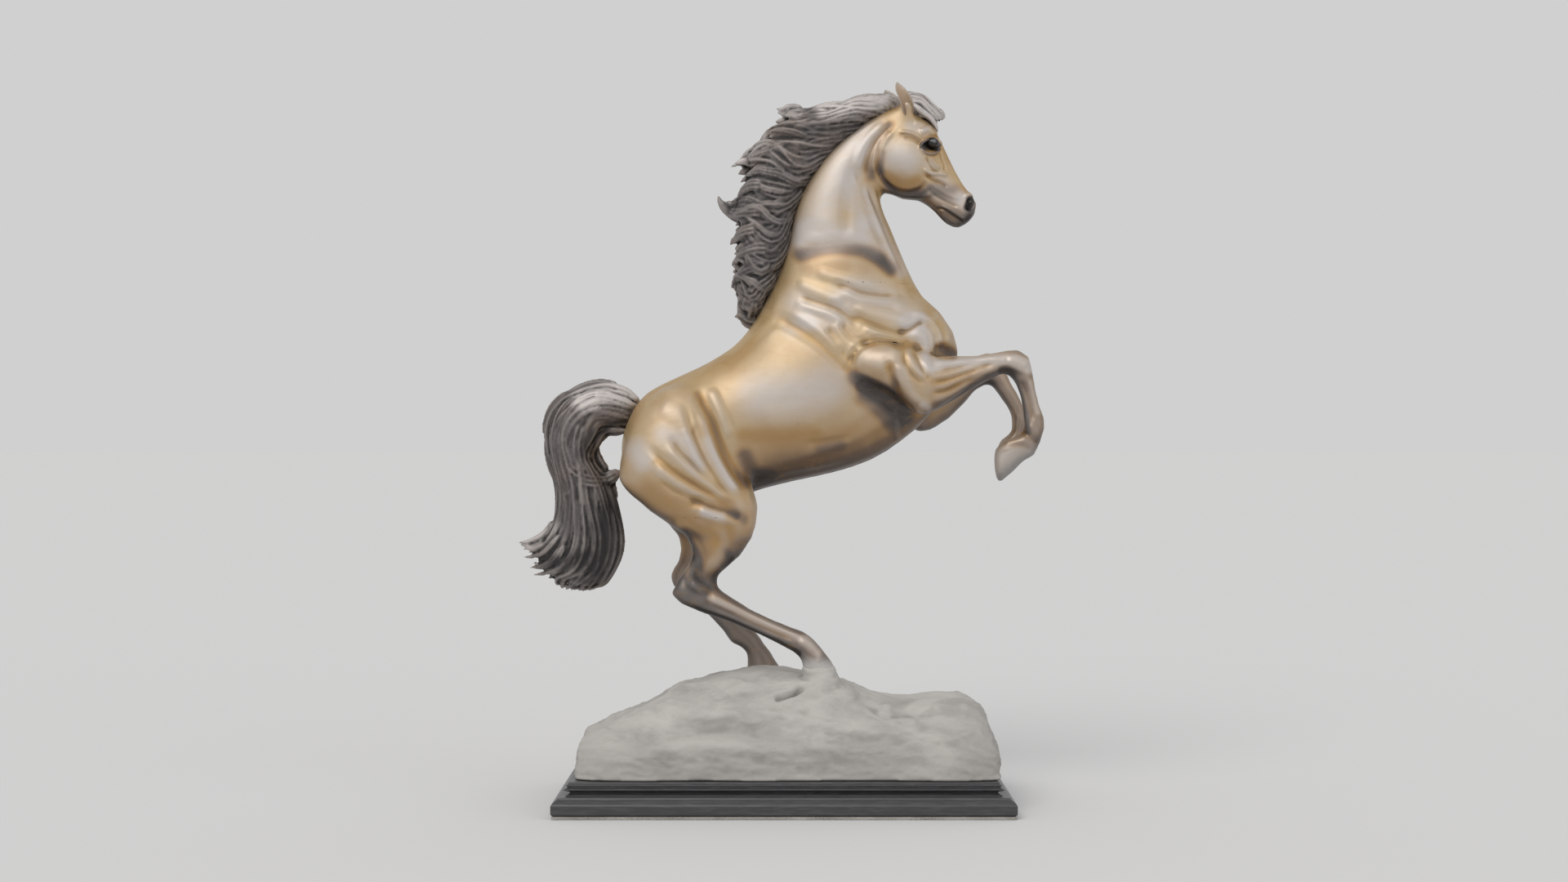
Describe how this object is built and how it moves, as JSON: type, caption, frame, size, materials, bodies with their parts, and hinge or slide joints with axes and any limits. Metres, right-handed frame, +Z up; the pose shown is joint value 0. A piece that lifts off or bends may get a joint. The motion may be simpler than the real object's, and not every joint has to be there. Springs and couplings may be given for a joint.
{
  "type": "horse statue",
  "caption": "Rearing bronze horse with a dark mane and tail, hind hooves set in a pale stone block on a black moulded plinth with a felt pad",
  "frame": {"origin": "middle of the base pad's underside", "axes": "+Z up, +X the way the horse faces, -Y the horse's right side"},
  "size_m": [0.4344, 0.19, 0.5989],
  "materials": {
    "bronze": "golden-brown patina, waxed, with paler rubbed high places and dark recesses",
    "dark_bronze": "dark grey-brown patina, chased hair with rubbed strands",
    "eye": "dark, high gloss",
    "stone": "matt, pale warm grey with cloudy veins",
    "ebonised_wood": "ebonised, satin",
    "felt": "pale grey pressed felt",
    "steel": "plain zinc-plated fasteners and pins"
  },
  "bodies": {
    "root": {"body": "bronze", "neck": "bronze", "head": "bronze", "right_eye": "eye", "left_eye": "eye", "forelock": "dark_bronze", "mane": "dark_bronze", "tail": "dark_bronze", "right_foreleg": "bronze", "left_foreleg": "bronze", "right_hindleg": "bronze", "left_hindleg": "bronze", "neck_pin_front": "steel", "neck_pin_rear": "steel", "head_pin": "steel", "right_shoulder_pin": "steel", "left_shoulder_pin": "steel", "right_gaskin_pin": "steel", "left_gaskin_pin": "steel", "dock_pin": "steel", "mane_pin_upper": "steel", "mane_pin_lower": "steel", "right_stud": "steel", "left_stud": "steel", "right_stud_nut": "steel", "left_stud_nut": "steel", "right_stud_washer": "steel", "left_stud_washer": "steel", "rock": "stone", "plinth_moulding": "ebonised_wood", "plinth_slab": "ebonised_wood", "plinth_screw_1": "steel", "plinth_screw_2": "steel", "plinth_screw_3": "steel", "plinth_screw_4": "steel", "screw_washer_1": "steel", "screw_washer_2": "steel", "screw_washer_3": "steel", "screw_washer_4": "steel", "base_pad": "felt"}
  },
  "joints": []
}
